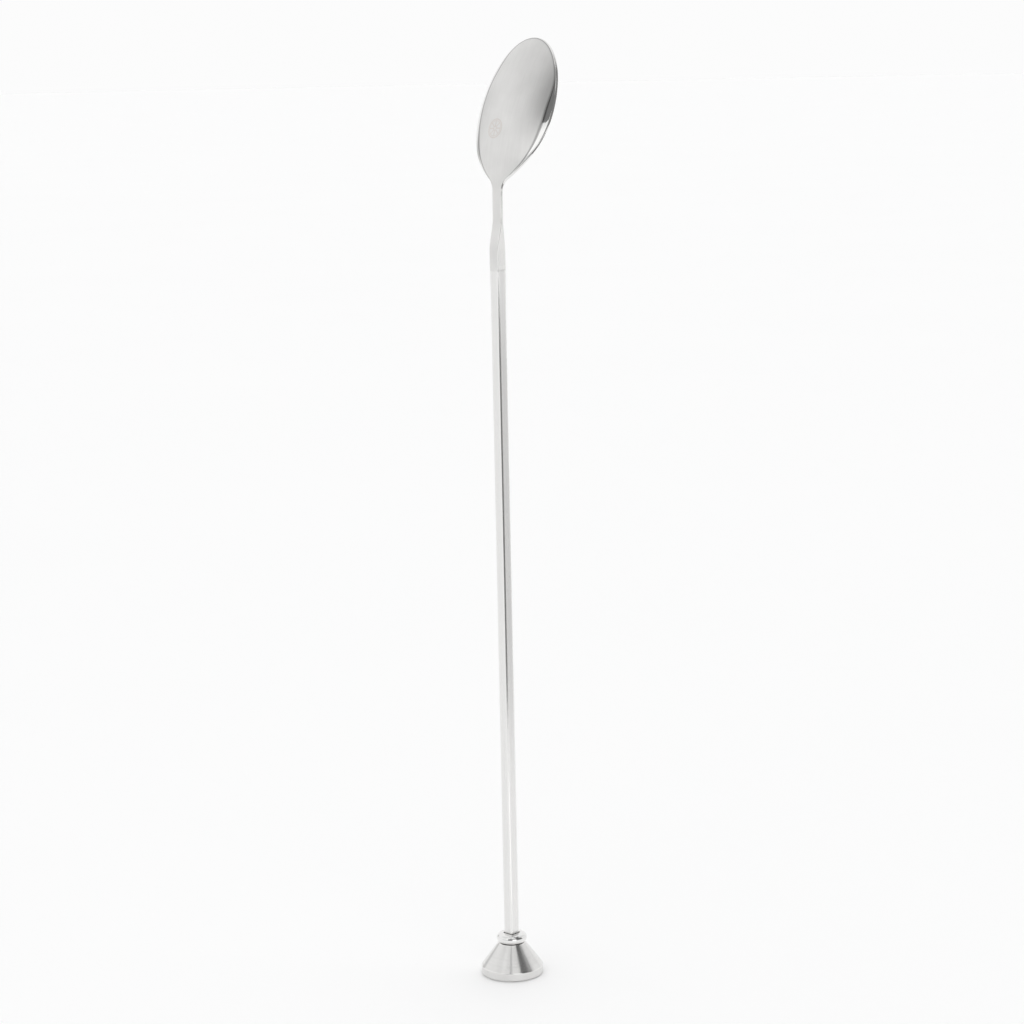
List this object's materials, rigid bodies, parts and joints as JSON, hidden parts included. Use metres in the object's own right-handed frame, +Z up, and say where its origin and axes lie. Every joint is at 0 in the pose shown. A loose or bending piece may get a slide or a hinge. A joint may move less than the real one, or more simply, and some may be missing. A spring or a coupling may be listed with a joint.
{
  "type": "bar spoon",
  "caption": "Long bar spoon with an egg-shaped bowl, a square stem and a weighted cone foot for stirring and muddling.",
  "frame": {"origin": "centre of the foot's flat base", "axes": "+Z up the stem towards the bowl, +Y towards the hollow side of the bowl, X across the bowl"},
  "size_m": [0.0338, 0.0325, 0.33],
  "materials": {
    "satin_bowl_steel": "satin, belt brushed along the bowl and neck",
    "linished_stem_steel": "fine lengthwise linishing with slightly polished corners",
    "mirror_bead_steel": "mirror polish",
    "turned_foot_steel": "satin, fine turning marks round the axis",
    "flush_weld_steel": "ground flush and blended with the bar"
  },
  "bodies": {
    "root": {"spoon_bowl": "satin_bowl_steel", "neck_weld": "flush_weld_steel", "stem": "linished_stem_steel", "collar_bead": "mirror_bead_steel", "foot": "turned_foot_steel"}
  },
  "joints": []
}
